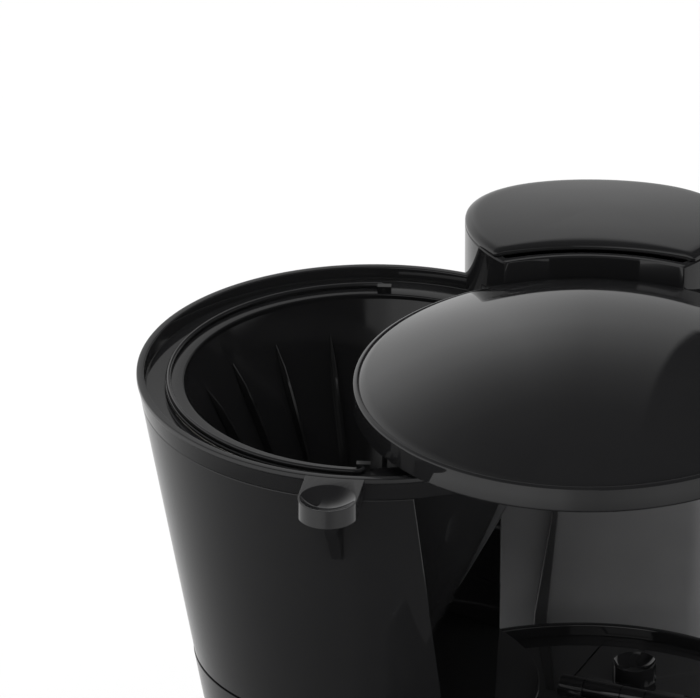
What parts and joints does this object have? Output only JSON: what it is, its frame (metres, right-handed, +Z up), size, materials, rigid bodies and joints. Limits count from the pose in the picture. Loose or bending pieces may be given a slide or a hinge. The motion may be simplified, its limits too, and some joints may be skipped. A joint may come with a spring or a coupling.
{
  "type": "drip coffee maker",
  "caption": "Black drip coffee maker with a swing-out filter holder under a round dome, rear water tank with hinged lid, heated base and lidded jug.",
  "frame": {"origin": "on the table, at the middle of the width and depth that the standing pose covers, with the filter holder open", "axes": "+Z up, -Y to the front where the jug comes out, +X to the right as seen from the front; the holder swings out towards -X"},
  "size_m": [0.2225, 0.2564, 0.31],
  "materials": {
    "gloss_black_plastic": "high gloss",
    "soft_black_plastic": "fine satin",
    "graphite_plastic": "satin",
    "smoked_black_plastic": "gloss",
    "steel": "satin",
    "alloy": "as drawn",
    "silicone": "matte",
    "black_rubber": "matte",
    "plate_coating": "satin non-stick coating",
    "clear_glass": "clear",
    "clear_plastic": "clear",
    "lamp_red": "translucent"
  },
  "bodies": {
    "machine": {"base_shell": "gloss_black_plastic", "bottom_cover": "soft_black_plastic", "rubber_feet": "black_rubber", "bottom_screws": "steel", "hot_plate": "plate_coating", "hot_plate_seal": "silicone", "heating_element": "alloy", "element_clamp": "steel", "thermostat": "steel", "thermal_fuse": "silicone", "check_valve": "silicone", "cold_hose": "silicone", "hot_hose": "silicone", "hose_clips": "steel", "riser_pipe": "alloy", "column_shell": "graphite_plastic", "rear_cover": "graphite_plastic", "rear_cover_screws": "steel", "water_tank": "soft_black_plastic", "tank_grommet": "silicone", "level_gauge": "clear_plastic", "head_shell": "gloss_black_plastic", "tank_hinge_pin": "steel", "spray_arm": "soft_black_plastic", "spray_chamber": "soft_black_plastic", "dome_cover": "gloss_black_plastic", "dome_screws": "smoked_black_plastic", "hinge_bracket": "soft_black_plastic", "hinge_pin": "steel", "hinge_rib": "soft_black_plastic", "switch_housing": "soft_black_plastic", "indicator_lens": "lamp_red", "cord_gland": "soft_black_plastic"},
    "tank_lid": {"tank_lid": "gloss_black_plastic"},
    "rocker": {"switch_rocker": "gloss_black_plastic"},
    "holder": {"swing_ring": "gloss_black_plastic", "holder_shell": "gloss_black_plastic", "holder_skirt": "gloss_black_plastic", "thumb_tab": "gloss_black_plastic", "filter_basket": "smoked_black_plastic", "basket_seal": "silicone", "drip_stop_guide": "soft_black_plastic", "drip_stop_spring": "steel"},
    "bail": {"bail_handle": "gloss_black_plastic"},
    "drip_valve": {"drip_stop_valve": "silicone"},
    "jug": {"jug_glass": "clear_glass", "jug_band": "steel", "jug_handle": "gloss_black_plastic", "handle_screw": "steel", "jug_collar": "gloss_black_plastic", "jug_lid": "gloss_black_plastic", "flap_pin": "steel"},
    "flap": {"pour_flap": "gloss_black_plastic"}
  },
  "joints": [
    {"name": "holder_swing", "type": "hinge", "parent": "machine", "child": "holder", "pos_m": [0.02077, 0.06193, 0.272], "axis": [0, 0, -1], "range_deg": [-52, 0]},
    {"name": "bail_fold", "type": "hinge", "parent": "holder", "child": "bail", "pos_m": [-0.03628, 0.00403, 0.2815], "axis": [0, 1, 0], "range_deg": [0, 70]},
    {"name": "drip_stop", "type": "slide", "parent": "holder", "child": "drip_valve", "axis": [0, 0, 1], "range_m": [0, 0.003], "stiffness_N_per_m": 300, "springref_m": -0.002},
    {"name": "tank_lid_hinge", "type": "hinge", "parent": "machine", "child": "tank_lid", "pos_m": [0.03127, 0.12643, 0.2838], "axis": [-1, 0, 0], "range_deg": [0, 75]},
    {"name": "jug_out", "type": "slide", "parent": "machine", "child": "jug", "axis": [0, -1, 0], "range_m": [0, 0.16]},
    {"name": "pour_flap_hinge", "type": "hinge", "parent": "jug", "child": "flap", "pos_m": [0.04208, 0.01102, 0.1663], "axis": [0.9397, -0.342, 0], "range_deg": [0, 65]},
    {"name": "switch_rock", "type": "hinge", "parent": "machine", "child": "rocker", "pos_m": [0.06828, -0.08276, 0.024], "axis": [-0.866, -0.5, 0], "range_deg": [0, 16]}
  ]
}
